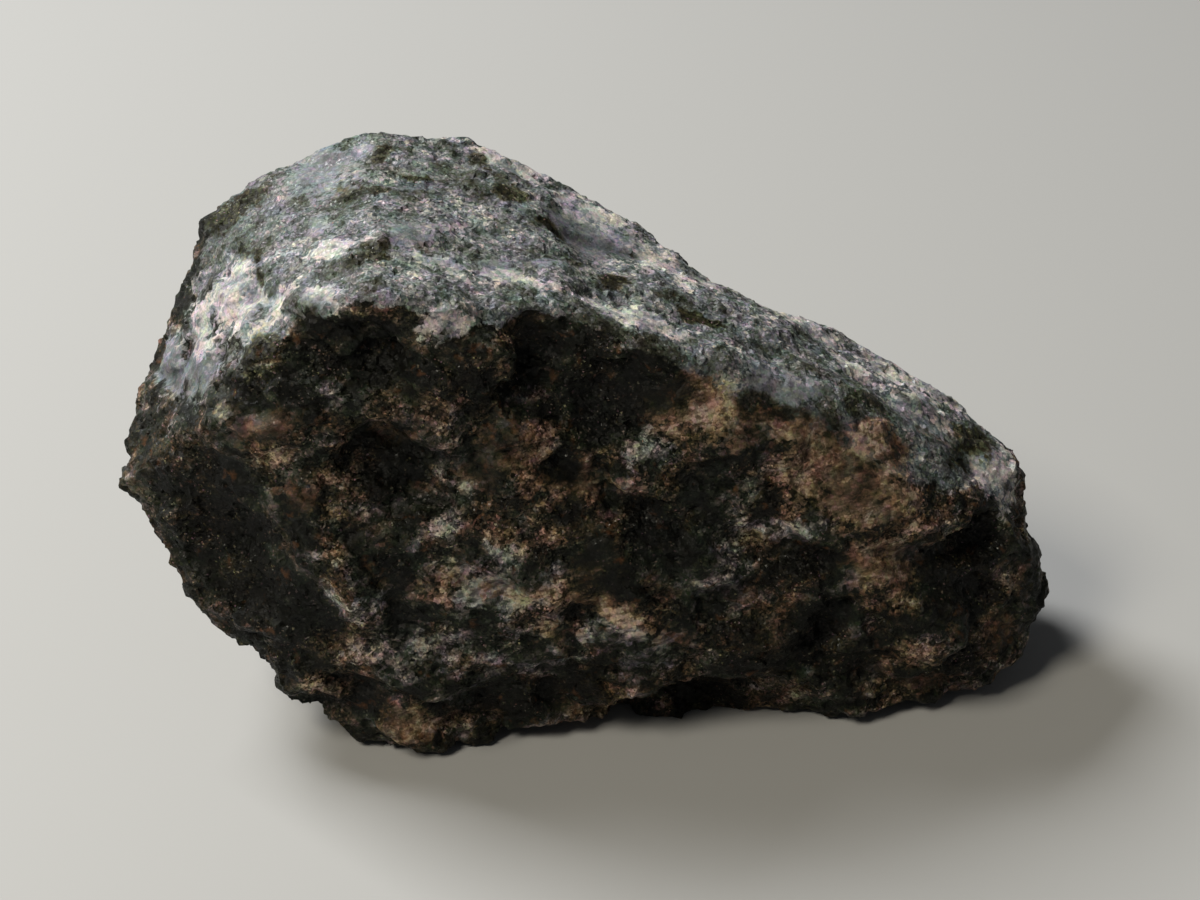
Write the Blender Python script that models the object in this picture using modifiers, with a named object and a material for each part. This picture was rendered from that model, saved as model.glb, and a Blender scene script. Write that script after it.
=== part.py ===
"""Raw gabbro, a hand sized broken stone.

The stone is one piece. It is built the way a hammer leaves it: a block with flat
break faces, hollows where flakes sprang off, knobs where hard crystals stayed, and
small chips all over. It stands on a small flat spot. Lengths are in metres, X is the
long side, Z is up, and the origin is on the ground below the middle of the stone.
"""
import math

import bmesh
import bpy
import numpy as np
from mathutils import Matrix, Vector, noise
from mathutils.bvhtree import BVHTree
from mathutils.kdtree import KDTree

MM = 0.001

# Names
STONE_NAME = "gabbro"
CUTTERS_NAME = "gabbro cutters"

# Corners of the block in millimetres: along the stone, away from the viewer, up
TOP_CORNERS = {
    "peak": (-12.1, 11.0, 31.3),
    "beside the peak": (-6.0, 12.0, 30.2),
    "back rim high": (-1.2, 11.6, 26.3),
    "back rim low": (12.8, 8.4, 18.2),
    "back rim end": (18.6, 7.0, 16.9),
    "left of the peak": (-18.6, 10.5, 29.2),
    "left shoulder": (-22.3, 9.0, 27.0),
    "front rim left": (-16.1, -4.0, 28.8),
    "front rim high": (-11.4, -5.6, 30.2),
    "front rim middle": (0.0, -3.2, 27.7),
    "front rim low": (8.4, -3.4, 23.5),
    "front rim lower": (15.5, -1.0, 20.7),
    "front rim end": (19.2, -1.4, 18.0),
}
LEFT_CORNERS = {
    "left edge high": (-22.3, 5.6, 22.4),
    "left edge middle": (-23.6, 3.2, 18.8),
    "left edge low": (-27.1, -0.4, 17.0),
    "left tip": (-27.6, -2.7, 14.9),
    "left tip behind": (-26.0, 3.2, 13.6),
    "left cheek": (-20.7, -6.3, 22.3),
    "left below high": (-25.1, -4.0, 13.4),
    "left below middle": (-23.1, -5.6, 9.2),
    "left below low": (-16.8, -8.4, 2.4),
    "left below behind": (-19.5, 6.5, 5.5),
}
RIGHT_CORNERS = {
    "right rim": (26.1, 3.0, 13.6),
    "right rim behind": (24.3, 5.2, 15.2),
    "right cheek": (24.4, -2.6, 12.8),
    "right nose high": (27.3, -0.8, 8.4),
    "right nose low": (28.1, -1.0, 5.3),
    "right toe": (26.8, -2.8, 2.4),
    "right toe low": (24.8, -4.0, 1.8),
    "right behind": (25.8, 6.0, 5.5),
}
FRONT_CORNERS = {
    "front left": (-16.2, -9.2, 14.2),
    "front middle": (-5.0, -9.4, 11.0),
    "front right": (9.5, -8.2, 8.0),
    "front right end": (19.0, -6.2, 8.6),
    "left foot": (-13.4, -9.0, 0.3),
    "toe": (-4.6, -8.9, 0.5),
    "right foot": (17.0, -6.8, 0.5),
}
BACK_CORNERS = {
    "back high left": (-17.0, 15.0, 21.5),
    "back high middle": (-4.5, 17.4, 17.0),
    "back middle right": (12.0, 13.6, 9.0),
    "back low left": (-15.0, 14.4, 8.5),
    "back low middle": (3.0, 13.2, 3.2),
    "back low right": (17.5, 9.6, 2.8),
}
BASE_CORNERS = {
    "base front left": (-6.5, -3.0, -0.8),
    "base front right": (8.0, 0.2, -0.8),
    "base back left": (-7.5, 5.6, -0.8),
    "base back right": (6.5, 6.0, -0.8),
}


def flake(spot, faces, width, height, depth, turn=0.0):
    """One hollow or knob: a spot on the block and the side it faces, in millimetres and degrees."""
    return {"spot": spot, "faces": faces, "size": (width, height, depth), "turn": turn}


VIEWER = (0.0, -1.0, 0.25)
LEFT_BELOW = (-0.8, -0.4, -0.6)

# Hollows where a flake sprang off
HOLLOWS = {
    "under the left rim": flake((-10.8, -6.0, 26.1), VIEWER, 13.5, 6.4, 1.5, turn=-6.0),
    "under the middle rim": flake((0.8, -5.0, 23.9), VIEWER, 13.5, 7.0, 1.7, turn=-22.0),
    "front middle pit": flake((4.5, -8.0, 15.1), VIEWER, 6.4, 4.4, 0.7, turn=-42.0),
    "front left dish": flake((-8.0, -8.0, 18.0), VIEWER, 13.0, 8.0, 1.0, turn=-32.0),
    "groove by the right foot": flake((14.2, -7.5, 6.6), VIEWER, 3.2, 9.4, 1.1, turn=-28.0),
    "right pit": flake((23.7, -3.0, 11.6), (0.25, -1.0, 0.3), 7.0, 4.2, 1.5, turn=-8.0),
    "below the left ledge": flake((-12.6, -9.0, 4.6), (-0.2, -1.0, 0.0), 6.4, 2.2, 0.8, turn=-26.0),
    "left face dish": flake((-20.4, -7.0, 15.0), (-0.5, -1.0, -0.1), 9.0, 9.0, 0.9, turn=20.0),
    "notch on the left edge high": flake((-22.9, -5.0, 8.8), LEFT_BELOW, 3.4, 2.2, 0.4),
    "notch on the left edge low": flake((-19.4, -7.0, 5.6), LEFT_BELOW, 3.8, 2.4, 0.4),
    "arch between the feet": flake((8.4, -8.4, 1.6), (0.0, -1.0, -0.9), 14.5, 9.0, 2.0),
    "arch crown": flake((8.4, -8.0, 2.0), (0.0, -1.0, -0.9), 9.0, 6.6, 3.0),
    "dish on the back": flake((-6.0, 17.0, 19.0), (-0.1, 1.0, 0.5), 17.0, 9.0, 1.5, turn=12.0),
    "dish on the back right": flake((10.0, 14.0, 8.0), (0.3, 1.0, 0.0), 13.0, 9.0, 1.4, turn=-20.0),
    "dish on the left back": flake((-22.0, 12.0, 16.0), (-1.0, 0.8, 0.1), 9.0, 12.0, 1.3),
    "hollow under the left": flake((-17.0, 1.0, 3.0), (-0.5, 0.0, -1.0), 12.0, 9.0, 1.3),
    "hollow under the back": flake((5.0, 11.0, 1.5), (0.0, 0.6, -1.0), 14.0, 6.0, 1.0),
    "dish on the back rim": flake((10.0, 8.7, 20.6), (0.35, 0.7, 0.75), 14.0, 8.0, 1.3, turn=24.0),
    "dish on the top": flake((1.5, 6.5, 26.5), (0.35, 0.0, 1.0), 9.0, 8.0, 0.5),
}

# Knobs that stayed proud: their depth is how far they rise
KNOBS = {
    "smooth crystal under the rim": flake((7.2, -6.0, 20.0), VIEWER, 7.4, 4.6, 0.6, turn=-16.0),
    "round crystal at the right": flake((16.5, -5.6, 15.0), VIEWER, 7.6, 5.6, 0.9, turn=-14.0),
    "tongue of the rim": flake((-6.9, -6.8, 27.6), (0.0, -1.0, 0.8), 6.0, 5.6, 0.8),
    "boulder at the right foot": flake((19.2, -7.0, 7.4), VIEWER, 6.6, 6.6, 0.9, turn=-10.0),
    "left ledge": flake((-11.2, -9.0, 6.6), VIEWER, 8.0, 2.6, 0.8, turn=-24.0),
    "lobe at the left foot": flake((-10.4, -9.0, 3.6), VIEWER, 5.0, 3.4, 0.5),
    "pink crystal on the left": flake((-17.8, -7.0, 22.1), (-0.3, -1.0, 0.3), 5.0, 2.6, 0.6, turn=-10.0),
}
TOOL_REACH = 2.2  # the pebble that cuts a hollow reaches this many times as far as its cap
TOOL_SPLITS = 2  # an icosphere split this often has facets as large as a flake's
TOOL_LUMP_LENGTH = 0.7  # size of the lumps on a pebble, in its radii
TOOL_LUMP_SHARE = 0.16  # how far they stand off it
SIGHT_LENGTH = 80.0 * MM

# Chips and swells of the broken surface
STREAK_DIP = math.radians(-20.0)  # the mineral streaks dip toward the right end
STREAK_STRETCH = 1.6
CHIP_SETS = {
    "break faces": {"cell": 8.5 * MM, "lean": 0.06, "step": 0.15 * MM, "blend": 0.30 * MM, "seed": 17},
    "chips": {"cell": 4.0 * MM, "lean": 0.13, "step": 0.17 * MM, "blend": 0.18 * MM, "seed": 28},
    "grains": {"cell": 2.2 * MM, "lean": 0.13, "step": 0.09 * MM, "blend": 0.12 * MM, "seed": 37},
}
NEAREST_CHIPS = 5
SEED_REACH = 42.0 * MM
SWELL_LENGTH = 14.0 * MM
SWELL_HEIGHT = 0.25 * MM
TOP_CALM = 0.4  # the bright top broke along the streaks and is calmer than the sides

# Meshing
WORKING_VOXEL = 0.45 * MM
FACE_BUDGET = 9600

# Finish, as the stone looks from a step away
STONE_COLOUR = (0.17, 0.155, 0.145, 1.0)
STONE_ROUGHNESS = 0.62


def clear_scene():
    for item in list(bpy.data.objects):
        bpy.data.objects.remove(item, do_unlink=True)


def new_collection(name):
    collection = bpy.data.collections.new(name)
    bpy.context.scene.collection.children.link(collection)
    return collection


def place_mesh(name, form, collection):
    """Turns a bmesh into an object of its own."""
    mesh = bpy.data.meshes.new(name)
    form.to_mesh(mesh)
    form.free()
    item = bpy.data.objects.new(name, mesh)
    collection.objects.link(item)
    return item


def add_block(name, corner_groups, collection):
    """The block with its large flat break faces: the hull of its corners."""
    form = bmesh.new()
    for corners in corner_groups:
        for corner in corners.values():
            form.verts.new(Vector(corner) * MM)
    hull = bmesh.ops.convex_hull(form, input=form.verts)
    inside = [item for item in hull["geom_interior"] if isinstance(item, bmesh.types.BMVert)]
    bmesh.ops.delete(form, geom=inside, context="VERTS")
    bmesh.ops.recalc_face_normals(form, faces=form.faces)
    return place_mesh(name, form, collection)


def surface_spot(tree, spot, faces):
    """The point of the block at the spot, seen from the side it faces."""
    aim = Vector(faces).normalized()
    start = Vector(spot) * MM + aim * SIGHT_LENGTH
    hit = tree.ray_cast(start, -aim)
    return hit[0], aim


def angular_pebble(pose, place):
    """A tool with flat facets and lumps, so that what it cuts has an angular rim."""
    form = bmesh.new()
    bmesh.ops.create_icosphere(form, subdivisions=TOOL_SPLITS, radius=1.0)
    for vertex in form.verts:
        lump = noise.noise(vertex.co / TOOL_LUMP_LENGTH + place / MM)
        vertex.co *= 1.0 + lump * TOOL_LUMP_SHARE
    form.transform(pose)
    return form


def add_tool(name, tree, entry, above, collection):
    """A pebble whose cap has the width, height and depth asked for at its spot."""
    point, aim = surface_spot(tree, entry["spot"], entry["faces"])
    width, height, depth = (part * MM for part in entry["size"])
    reach = depth * TOOL_REACH
    offset = reach - depth
    cap_share = math.sqrt(1.0 - (offset / reach) ** 2)
    radii = Vector((width / 2 / cap_share, height / 2 / cap_share, reach))
    middle = point + aim * offset if above else point - aim * offset
    facing_turn = aim.to_track_quat("Z", "Y").to_matrix().to_4x4()
    own_turn = Matrix.Rotation(math.radians(entry["turn"]), 4, "Z")
    pose = Matrix.Translation(middle) @ facing_turn @ own_turn @ Matrix.Diagonal(radii.to_4d())
    tool = place_mesh(name, angular_pebble(pose, point), collection)
    tool.hide_render = True
    tool.display_type = "WIRE"
    return tool


def apply_modifiers(item):
    """Keeps the shape that the modifiers make and takes them away."""
    shown = item.evaluated_get(bpy.context.evaluated_depsgraph_get())
    finished = bpy.data.meshes.new_from_object(shown)
    item.modifiers.clear()
    item.data = finished


def fuse(body, tools, operation):
    """Cuts the tools out of the body, or joins them to it."""
    for tool in tools:
        step = body.modifiers.new(tool.name, "BOOLEAN")
        step.object = tool
        step.operation = operation
        step.solver = "EXACT"
    apply_modifiers(body)


def remesh_evenly(body, voxel):
    """An even mesh all over, fine enough to carry the chips."""
    step = body.modifiers.new("even mesh", "REMESH")
    step.mode = "VOXEL"
    step.voxel_size = voxel
    apply_modifiers(body)


def streak_frame(points):
    """Points measured along the mineral streaks, with the streak direction squeezed."""
    along = points[:, 0] * math.cos(STREAK_DIP) + points[:, 2] * math.sin(STREAK_DIP)
    across = points[:, 2] * math.cos(STREAK_DIP) - points[:, 0] * math.sin(STREAK_DIP)
    return np.stack([along / STREAK_STRETCH, points[:, 1], across], axis=1)


def scatter_seeds(cell, generator):
    """One seed a cell, jittered inside it, over a cube wider than the stone."""
    places = np.arange(-SEED_REACH, SEED_REACH, cell)
    grid = np.stack(np.meshgrid(places, places, places, indexing="ij"), axis=-1).reshape(-1, 3)
    return grid + generator.uniform(0.0, cell, grid.shape)


def chip_heights(points, cell, lean, step, blend, seed):
    """Height of many small flat chips, each leaning its own way, at every point."""
    generator = np.random.default_rng(seed)
    seeds = scatter_seeds(cell, generator)
    leans = generator.normal(0.0, lean, seeds.shape)
    steps = generator.uniform(-step, step, len(seeds))
    tree = KDTree(len(seeds))
    for index, place in enumerate(seeds):
        tree.insert(place, index)
    tree.balance()
    heights = np.zeros(len(points))
    for row, point in enumerate(points):
        near = tree.find_n(point, NEAREST_CHIPS)
        picks = [found[1] for found in near]
        gaps = np.array([found[2] for found in near])
        weights = np.exp((gaps[0] - gaps) / blend)
        planes = steps[picks] + np.sum((point - seeds[picks]) * leans[picks], axis=1)
        heights[row] = np.sum(weights * planes) / np.sum(weights)
    return heights


def roughen(body):
    """Moves the surface out and in by the chips and by a slow swell."""
    mesh = body.data
    points = np.array([vertex.co for vertex in mesh.vertices])
    normals = np.array([vertex.normal for vertex in mesh.vertices])
    framed = streak_frame(points)
    heights = np.zeros(len(points))
    for settings in CHIP_SETS.values():
        heights += chip_heights(framed, **settings)
    swells = [noise.noise(Vector(point) / SWELL_LENGTH) * SWELL_HEIGHT for point in points]
    upward = np.clip(normals[:, 2], 0.0, 1.0)
    calm = 1.0 - (1.0 - TOP_CALM) * upward
    moved = points + normals * (heights * calm + np.array(swells))[:, None]
    mesh.vertices.foreach_set("co", moved.ravel())
    mesh.update()


def thin_out(body, faces):
    """Fewer, larger faces where the stone is flat."""
    triangles = sum(len(face.vertices) - 2 for face in body.data.polygons)
    step = body.modifiers.new("fewer faces", "DECIMATE")
    step.ratio = faces / triangles
    step.use_collapse_triangulate = True
    apply_modifiers(body)


def drop_specks(form):
    """Keeps what hangs together with the highest point; a shallow pit above the cut is a speck."""
    kept = set()
    waiting = [max(form.verts, key=lambda vertex: vertex.co.z)]
    while waiting:
        vertex = waiting.pop()
        if vertex not in kept:
            kept.add(vertex)
            waiting.extend(edge.other_vert(vertex) for edge in vertex.link_edges)
    specks = [vertex for vertex in form.verts if vertex not in kept]
    bmesh.ops.delete(form, geom=specks, context="VERTS")


def stand_flat(body):
    """Cuts the small flat spot that the stone stands on."""
    form = bmesh.new()
    form.from_mesh(body.data)
    everything = form.verts[:] + form.edges[:] + form.faces[:]
    bmesh.ops.bisect_plane(
        form, geom=everything, plane_co=(0.0, 0.0, 0.0), plane_no=(0.0, 0.0, -1.0), clear_outer=True
    )
    drop_specks(form)
    rim = [edge for edge in form.edges if edge.is_boundary]
    bmesh.ops.holes_fill(form, edges=rim)
    bmesh.ops.triangulate(form, faces=form.faces)
    form.to_mesh(body.data)
    form.free()


def centre_on_ground(body):
    """Moves the mesh so that the origin is on the ground below the middle."""
    points = np.array([vertex.co for vertex in body.data.vertices])
    low = points.min(axis=0)
    high = points.max(axis=0)
    move = Vector((-(low[0] + high[0]) / 2, -(low[1] + high[1]) / 2, -low[2]))
    body.data.transform(Matrix.Translation(move))
    return move


def stone_material():
    """Dark green black rock with milky crystals."""
    material = bpy.data.materials.new("gabbro stone")
    material.use_nodes = True
    shader = material.node_tree.nodes["Principled BSDF"]
    shader.inputs["Base Color"].default_value = STONE_COLOUR
    shader.inputs["Roughness"].default_value = STONE_ROUGHNESS
    shader.inputs["Metallic"].default_value = 0.0
    return material


clear_scene()
stone_collection = new_collection(STONE_NAME)
cutter_collection = new_collection(CUTTERS_NAME)

# The block and its large break faces
corner_groups = [
    TOP_CORNERS, LEFT_CORNERS, RIGHT_CORNERS, FRONT_CORNERS, BACK_CORNERS, BASE_CORNERS
]
stone = add_block(STONE_NAME, corner_groups, stone_collection)
block_tree = BVHTree.FromObject(stone, bpy.context.evaluated_depsgraph_get())

# The hollows, then the knobs, both set out from the first block
knobs = [add_tool(name, block_tree, entry, False, cutter_collection) for name, entry in KNOBS.items()]
hollows = [add_tool(name, block_tree, entry, True, cutter_collection) for name, entry in HOLLOWS.items()]
fuse(stone, hollows, "DIFFERENCE")
fuse(stone, knobs, "UNION")

# The broken surface
remesh_evenly(stone, WORKING_VOXEL)
roughen(stone)
thin_out(stone, FACE_BUDGET)
stand_flat(stone)
ground_shift = centre_on_ground(stone)
stone.data.materials.append(stone_material())
print("moved to the origin by", [round(part / MM, 3) for part in ground_shift], "mm")
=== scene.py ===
# %% [markdown]
# # A raw gabbro stone
# Gabbro is a coarse dark rock: milky feldspar crystals grown through dark green
# pyroxene. This one is a piece that fits in the hand, broken off and left as it
# broke. The solid that carries it is loaded first and never changed. Every length
# below is in metres, or in millimetres times MM. Only the list of crystals and the
# finish count in plain millimetres, which keeps their numbers easy to read.

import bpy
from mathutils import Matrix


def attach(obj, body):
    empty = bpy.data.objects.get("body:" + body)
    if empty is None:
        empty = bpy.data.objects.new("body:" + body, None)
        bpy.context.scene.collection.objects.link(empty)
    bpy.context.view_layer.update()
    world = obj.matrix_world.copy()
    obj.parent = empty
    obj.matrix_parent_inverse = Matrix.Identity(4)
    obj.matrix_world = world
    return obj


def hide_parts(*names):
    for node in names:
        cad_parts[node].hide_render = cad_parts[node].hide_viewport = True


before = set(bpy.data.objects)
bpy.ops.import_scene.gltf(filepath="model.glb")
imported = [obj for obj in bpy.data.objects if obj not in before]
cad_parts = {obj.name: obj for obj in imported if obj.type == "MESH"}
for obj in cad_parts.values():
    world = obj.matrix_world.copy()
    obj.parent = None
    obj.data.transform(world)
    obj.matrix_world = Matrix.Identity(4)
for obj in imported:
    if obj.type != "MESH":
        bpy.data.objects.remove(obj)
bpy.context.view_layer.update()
MM = 0.001

# %% Tools of this lesson
import math
from itertools import product

import bmesh
import bpy
import numpy as np
from mathutils import Euler, Vector, noise

print("made with Blender", bpy.app.version_string)

# %% [markdown]
# ## The view
# The stone is seen from 35 degrees above the table, from close by. A wide lens near
# the stone and a long lens far from it could both fill the picture, but the distance
# alone decides how much larger the near parts look than the far ones. So the distance
# is chosen first, and then the lens that frames the stone.

# %% Camera
VIEW_ELEVATION = math.radians(35.0)
VIEW_DISTANCE = 170.0 * MM
VIEW_TARGET = Vector((0.506, -3.479, 15.8)) * MM
LENS = 85.7  # focal length in millimetres, as lenses are always named
NEAREST_SEEN = 10 * MM


def add_camera():
    """The camera looks along +Y and down."""
    data = bpy.data.cameras.new("view")
    data.lens = LENS
    data.clip_start = NEAREST_SEEN
    camera = bpy.data.objects.new("view", data)
    back = Vector((0.0, -math.cos(VIEW_ELEVATION), math.sin(VIEW_ELEVATION)))
    camera.location = VIEW_TARGET + back * VIEW_DISTANCE
    camera.rotation_euler = (math.pi / 2 - VIEW_ELEVATION, 0.0, 0.0)
    bpy.context.scene.collection.objects.link(camera)
    return camera


bpy.context.scene.camera = add_camera()
print("camera at", [round(part / MM) for part in bpy.context.scene.camera.location], "mm")

# %% [markdown]
# ## Table and light
# The stone lies on a plain pale table under two large soft lamps. The main lamp is
# high up, behind the stone and to its left, so the top shines, the broken front lies
# in its own shade, and the shadow falls forward and to the right. A weaker, warmer
# lamp in front and a faint sky keep the front readable. A lamp from the front alone
# would be simpler, but it would make the break look flat.

# %% Table
TABLE_HALF = 900 * MM
TABLE_COLOUR = (0.44, 0.435, 0.425, 1.0)
TABLE_ROUGHNESS = 0.7


def plain_material(name, colour, roughness):
    material = bpy.data.materials.new(name)
    material.use_nodes = True
    shader = material.node_tree.nodes["Principled BSDF"]
    shader.inputs["Base Color"].default_value = colour
    shader.inputs["Roughness"].default_value = roughness
    return material


def add_table():
    form = bmesh.new()
    bmesh.ops.create_grid(form, x_segments=1, y_segments=1, size=TABLE_HALF)
    mesh = bpy.data.meshes.new("table")
    form.to_mesh(mesh)
    form.free()
    table = bpy.data.objects.new("table", mesh)
    mesh.materials.append(plain_material("pale table", TABLE_COLOUR, TABLE_ROUGHNESS))
    bpy.context.scene.collection.objects.link(table)
    return table


add_table()
print("table", round(2 * TABLE_HALF, 1), "m wide")

# %% Lamps and sky
LAMP_DISTANCE = 420 * MM
KEY_FROM = Vector((-0.78, 0.55, 1.0))
KEY_SIZE = 150 * MM
KEY_POWER = 2.0
KEY_COLOUR = (0.985, 1.0, 1.0)
FILL_FROM = Vector((-0.70, -0.55, 1.1))
FILL_SIZE = 140 * MM
FILL_POWER = 0.98
FILL_COLOUR = (1.0, 0.94, 0.80)
SKY_COLOUR = (0.72, 0.76, 0.80, 1.0)
SKY_STRENGTH = 0.07


def add_lamp(name, direction, size, power, colour):
    """A soft square lamp that faces the stone."""
    data = bpy.data.lights.new(name, "AREA")
    data.size = size
    data.energy = power
    data.color = colour
    lamp = bpy.data.objects.new(name, data)
    lamp.location = VIEW_TARGET + direction.normalized() * LAMP_DISTANCE
    lamp.rotation_euler = direction.to_track_quat("Z", "Y").to_euler()
    bpy.context.scene.collection.objects.link(lamp)


def add_sky():
    sky = bpy.data.worlds.new("soft sky")
    sky.use_nodes = True
    background = sky.node_tree.nodes["Background"]
    background.inputs["Color"].default_value = SKY_COLOUR
    background.inputs["Strength"].default_value = SKY_STRENGTH
    bpy.context.scene.world = sky


add_lamp("key", KEY_FROM, KEY_SIZE, KEY_POWER, KEY_COLOUR)
add_lamp("fill", FILL_FROM, FILL_SIZE, FILL_POWER, FILL_COLOUR)
add_sky()
bpy.context.scene.view_settings.view_transform = "Standard"
print("lamps", [item.name for item in bpy.data.lights])

# %% [markdown]
# ## Crystals that show
# Most of the rock is an even mix, but some crystals and some dark nests are large
# enough to be known by their place. Each is an egg shaped region: its middle, its
# size along the stone, into it and up, and its turn as seen from the front. They are
# listed by kind, because each kind breaks and shines in its own way. Painting them
# on an image would be quicker, but regions can steer the relief as well as the
# colour.

# %% Crystal regions
REGIONS = {}


def region(middle, size, turn=0.0):
    """Middle and size in millimetres, turn in degrees about Y."""
    return {"middle": middle, "size": size, "turn": turn}


def list_regions(kind, entries):
    REGIONS[kind] = entries
    print(len(entries), kind, "regions")


# %% [markdown]
# ## Feldspar of the top
# Milky crystals are the white ones along the rims and on the shoulder, where the
# weather has bleached them. Along the back rims, the right tip and the shoulder they are
# also painted light, where the lamp catches these edges. Blue ones are clearer, and
# look grey blue because light goes deeper into them before it comes back.

# %% Milky crystals
list_regions("milky", {
    # The regions along the rims, the tip and the shoulder are white feldspar and painted light.
    "rim right of the peak": region((-4.8, 7.4, 29.0), (5.0, 3.0, 3.0), turn=30.0),
    "streak on the top": region((-14.7, -3.6, 30.2), (4.0, 2.0, 2.0)),
    "streak by the crest": region((-9.0, -5.4, 29.7), (4.6, 1.6, 1.6)),
    "white along the crest": region((3.1, -5.3, 25.9), (8.0, 1.6, 2.2), turn=22.0),
    "rim high": region((4.9, 2.4, 24.3), (7.0, 4.4, 2.2), turn=28.0),
    "rim middle": region((12.0, 2.0, 20.4), (8.0, 4.8, 2.4), turn=28.0),
    "rim low": region((18.7, 2.0, 17.0), (8.5, 4.8, 2.4), turn=26.0),
    "shoulder": region((-21.0, -3.6, 26.1), (6.4, 6.5, 3.2)),
    "shoulder low": region((-22.7, -3.4, 24.0), (3.6, 5.0, 3.4)),
    "right tip": region((24.2, -2.7, 13.8), (2.2, 2.4, 3.8)),
    "rim over the patch": region((0.0, 5.5, 26.8), (6.2, 2.5, 1.6), turn=34.0),
    "tongue": region((-8.2, -9.0, 28.6), (3.0, 3.2, 1.8), turn=10.0),
    "spot on the top": region((-9.8, -2.5, 30.5), (0.9, 1.2, 1.6)),
    "streak behind the crest": region((-4.0, -5.2, 28.6), (4.5, 1.2, 1.6), turn=14.0),
    "streak in the middle": region((-6.9, -1.8, 29.5), (3.4, 1.0, 1.6), turn=16.0),
    "shoulder band": region((-19.7, -4.8, 26.6), (8.0, 4.8, 3.0), turn=-4.0),
    "shoulder front": region((-22.4, -2.8, 24.3), (3.2, 4.6, 2.4)),
    "white rim by the shoulder": region((-15.1, -8.1, 29.4), (3.9, 2.5, 1.6), turn=-10.0),
    "light end of the ridge": region((25.3, -2.4, 13.1), (2.1, 5.3, 3.0), turn=40.0),
    "white rim at the tip": region((23.6, -3.2, 14.1), (2.4, 3.6, 2.0), turn=40.0),
    "white rim on the right": region((15.3, -1.1, 19.9), (5.3, 2.7, 1.6), turn=26.0),
    "white rim further right": region((20.3, -0.9, 17.3), (3.6, 2.7, 1.6), turn=26.0),
    "white rim left of the recess": region((-18.0, -6.4, 27.3), (3.9, 3.3, 1.9), turn=-8.0),
})

# %% Blue crystals
list_regions("blue", {
    "patch left of the peak": region((-15.5, 5.2, 30.0), (5.4, 6.5, 3.0)),
    "patch on the top": region((-0.1, 2.9, 26.9), (6.0, 5.0, 2.4), turn=24.0),
    "band under the crest": region((10.8, -5.9, 22.2), (9.4, 2.4, 1.0), turn=14.0),
    "left edge": region((-22.8, -5.2, 22.6), (3.4, 4.4, 4.0)),
    "below the right rim": region((19.3, -2.3, 17.1), (5.0, 2.4, 1.6), turn=20.0),
    "crystals on the top": region((-9.9, -3.3, 30.5), (2.5, 3.6, 2.0), turn=10.0),
    "small crystal on the top": region((-2.6, -2.9, 28.5), (1.5, 1.6, 1.6), turn=20.0),
    "left of the shoulder": region((-24.3, -2.7, 21.5), (2.3, 6.1, 3.5)),
    "grey crystal right of the middle": region((-6.0, -4.2, 29.1), (1.7, 2.4, 1.6)),
    "grey crystal far right": region((-4.4, -4.4, 28.8), (1.5, 1.8, 1.6)),
    "grey crystal in the middle": region((-9.1, -2.9, 30.4), (1.9, 2.4, 1.6), turn=10.0),
    "grey crystal behind the middle": region((-10.3, 1.7, 30.6), (1.5, 1.8, 1.6)),
    "grey crystal on the left": region((-15.9, -1.0, 29.5), (1.7, 1.8, 1.6)),
})

# %% [markdown]
# ## Feldspar of the front
# Pale grains are the clean feldspar of the fresh break. Tan and brown crystals have
# been stained by iron. The tan ones are the largest and smoothest of the stone, so
# their places and sizes matter most.

# %% Pale grains
list_regions("pale", {
    "grey grains below the shoulder": region((-18.0, -9.6, 24.8), (2.0, 2.8, 1.2), turn=10.0),
    "lower lens": region((-2.7, -12.6, 11.1), (4.4, 2.4, 1.5), turn=-8.0),
    "ledge streak": region((-12.1, -13.5, 7.1), (5.6, 2.0, 0.9), turn=-8.0),
    "streak on the right": region((11.2, -9.7, 14.6), (6.4, 2.2, 1.4), turn=-4.0),
    "grey lower": region((-7.2, -11.8, 4.6), (4.6, 2.4, 3.2)),
    "light grains in the middle": region((-4.2, -12.6, 7.9), (7.6, 2.8, 3.1), turn=20.0),
    "light grains on the left": region((-15.1, -12.4, 11.0), (7.0, 2.8, 2.1), turn=-14.0),
    "light grains by the pit": region((7.5, -10.7, 13.1), (4.1, 2.8, 4.2), turn=30.0),
    "light heart of the pink band": region((-5.6, -12.3, 12.2), (6.9, 2.8, 3.9)),
    "light grains low in the middle": region((2.3, -12.5, 8.2), (6.4, 2.8, 4.3), turn=36.0),
    "grey grains on the ledge": region((-11.2, -12.8, 8.1), (6.4, 2.8, 2.9), turn=-10.0),
    "lavender grains below the shoulder": region((-14.5, -10.2, 24.0), (2.6, 2.8, 1.9), turn=10.0),
    "lavender grains in the middle": region((2.8, -8.7, 20.2), (4.0, 2.8, 2.8), turn=20.0),
    "grey grains left of the middle": region((-8.1, -10.6, 17.3), (2.9, 2.8, 2.8)),
    "light grains below the shoulder": region((-16.2, -9.2, 25.6), (1.9, 2.8, 1.5), turn=10.0),
})

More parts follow.
